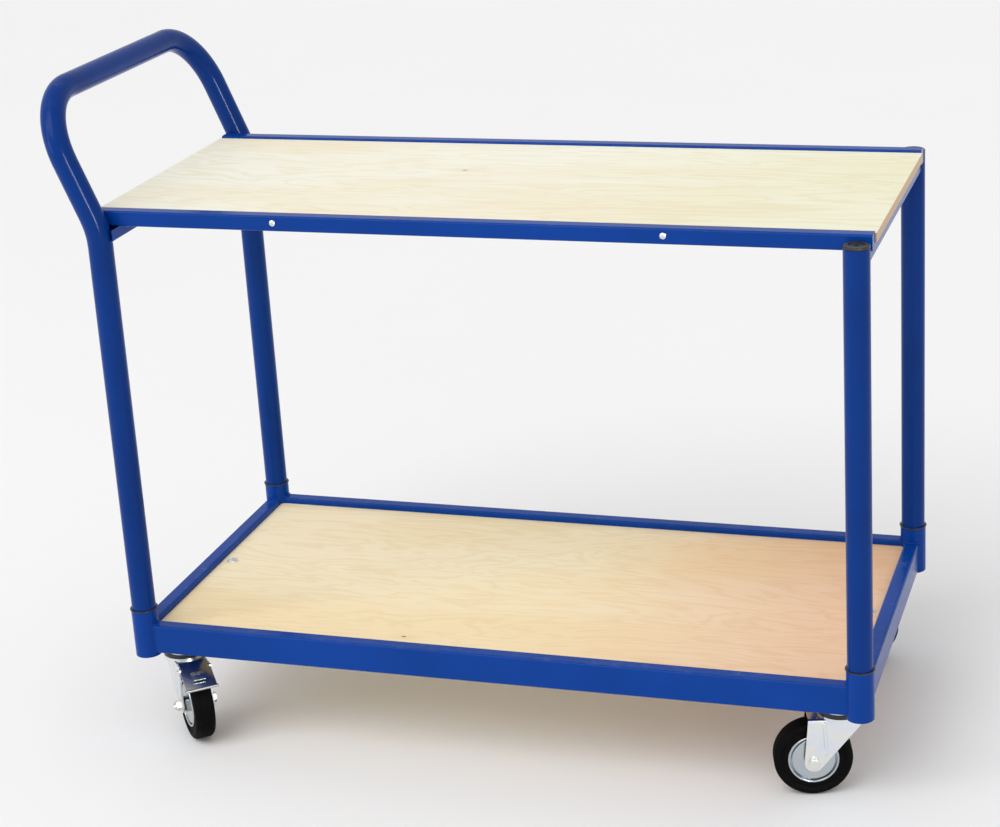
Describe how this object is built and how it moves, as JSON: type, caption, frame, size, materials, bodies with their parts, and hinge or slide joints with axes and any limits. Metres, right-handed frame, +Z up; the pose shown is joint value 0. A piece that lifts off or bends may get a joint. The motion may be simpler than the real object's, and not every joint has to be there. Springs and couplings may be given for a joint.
{
  "type": "table trolley",
  "caption": "Two-shelf table trolley: blue tube frame, plywood deck and shelf, bent push handle, swivel casters with brakes on the handle side.",
  "frame": {"origin": "on the floor, under the middle of the whole trolley", "axes": "+X along the length, from the handle end towards the front end; +Y across the width, towards the left side as seen by the person pushing; +Z up"},
  "size_m": [1.0676, 0.5238, 0.8999],
  "materials": {
    "blue_paint": "gloss powder coat",
    "plywood": "clear lacquered birch plywood, satin",
    "plated_sheet": "bright zinc plated pressed steel",
    "plated_fastener": "bright zinc plated steel",
    "bearing_steel": "polished steel balls",
    "bearing_plastic": "black nylon",
    "black_plastic": "moulded black plastic, soft sheen",
    "tyre_rubber": "black solid rubber",
    "shoe_rubber": "black rubber"
  },
  "bodies": {
    "frame": {"side_rail_right": "blue_paint", "side_rail_left": "blue_paint", "end_rail_rear": "blue_paint", "end_rail_front": "blue_paint", "corner_sleeves": "blue_paint", "corner_plates": "blue_paint", "post_collars": "black_plastic", "handle_hoop": "blue_paint", "front_post_right": "blue_paint", "front_post_left": "blue_paint", "post_caps": "black_plastic", "shelf_rail_right": "blue_paint", "shelf_rail_left": "blue_paint", "shelf_bearers": "blue_paint", "shelf_board": "plywood", "shelf_screws": "plated_fastener", "deck_board": "plywood", "deck_bearers": "blue_paint", "deck_bolts": "plated_fastener", "kingpins": "plated_fastener", "upper_race_rear_right": "plated_sheet", "swivel_balls_rear_right": "bearing_steel", "dust_ring_rear_right": "black_plastic", "upper_race_rear_left": "plated_sheet", "swivel_balls_rear_left": "bearing_steel", "dust_ring_rear_left": "black_plastic", "upper_race_front_right": "plated_sheet", "swivel_balls_front_right": "bearing_steel", "dust_ring_front_right": "black_plastic", "upper_race_front_left": "plated_sheet", "swivel_balls_front_left": "bearing_steel", "dust_ring_front_left": "black_plastic"},
    "swivel_rear_right": {"fork_rear_right": "plated_sheet", "axle_rear_right": "plated_fastener", "pedal_pin_rear_right": "plated_fastener"},
    "wheel_rear_right": {"wheel_bush_rear_right": "bearing_plastic", "wheel_disc_rear_right": "plated_sheet", "tyre_rear_right": "tyre_rubber"},
    "pedal_rear_right": {"brake_pedal_rear_right": "plated_sheet", "brake_shoe_rear_right": "shoe_rubber"},
    "swivel_rear_left": {"fork_rear_left": "plated_sheet", "axle_rear_left": "plated_fastener", "pedal_pin_rear_left": "plated_fastener"},
    "wheel_rear_left": {"wheel_bush_rear_left": "bearing_plastic", "wheel_disc_rear_left": "plated_sheet", "tyre_rear_left": "tyre_rubber"},
    "pedal_rear_left": {"brake_pedal_rear_left": "plated_sheet", "brake_shoe_rear_left": "shoe_rubber"},
    "swivel_front_right": {"fork_front_right": "plated_sheet", "axle_front_right": "plated_fastener"},
    "wheel_front_right": {"wheel_bush_front_right": "bearing_plastic", "wheel_disc_front_right": "plated_sheet", "tyre_front_right": "tyre_rubber"},
    "swivel_front_left": {"fork_front_left": "plated_sheet", "axle_front_left": "plated_fastener"},
    "wheel_front_left": {"wheel_bush_front_left": "bearing_plastic", "wheel_disc_front_left": "plated_sheet", "tyre_front_left": "tyre_rubber"}
  },
  "joints": [
    {"name": "swivel_rear_right", "type": "hinge", "parent": "frame", "child": "swivel_rear_right", "pos_m": [-0.41745, -0.185, 0.115], "axis": [0, 0, 1], "continuous": true},
    {"name": "wheel_spin_rear_right", "type": "hinge", "parent": "swivel_rear_right", "child": "wheel_rear_right", "pos_m": [-0.39495, -0.21181, 0.05], "axis": [0.766, 0.6428, 0], "continuous": true},
    {"name": "brake_rear_right", "type": "hinge", "parent": "swivel_rear_right", "child": "pedal_rear_right", "pos_m": [-0.38917, -0.21871, 0.103], "axis": [0.766, 0.6428, 0], "range_deg": [0, 5]},
    {"name": "swivel_rear_left", "type": "hinge", "parent": "frame", "child": "swivel_rear_left", "pos_m": [-0.41745, 0.185, 0.115], "axis": [0, 0, 1], "continuous": true},
    {"name": "wheel_spin_rear_left", "type": "hinge", "parent": "swivel_rear_left", "child": "wheel_rear_left", "pos_m": [-0.39495, 0.21181, 0.05], "axis": [-0.766, 0.6428, 0], "continuous": true},
    {"name": "brake_rear_left", "type": "hinge", "parent": "swivel_rear_left", "child": "pedal_rear_left", "pos_m": [-0.38917, 0.21871, 0.103], "axis": [-0.766, 0.6428, 0], "range_deg": [0, 5]},
    {"name": "swivel_front_right", "type": "hinge", "parent": "frame", "child": "swivel_front_right", "pos_m": [0.48255, -0.185, 0.115], "axis": [0, 0, 1], "continuous": true},
    {"name": "wheel_spin_front_right", "type": "hinge", "parent": "swivel_front_right", "child": "wheel_front_right", "pos_m": [0.44891, -0.19465, 0.05], "axis": [0.2756, -0.9613, 0], "continuous": true},
    {"name": "swivel_front_left", "type": "hinge", "parent": "frame", "child": "swivel_front_left", "pos_m": [0.48255, 0.185, 0.115], "axis": [0, 0, 1], "continuous": true},
    {"name": "wheel_spin_front_left", "type": "hinge", "parent": "swivel_front_left", "child": "wheel_front_left", "pos_m": [0.44891, 0.19465, 0.05], "axis": [-0.2756, -0.9613, 0], "continuous": true}
  ]
}
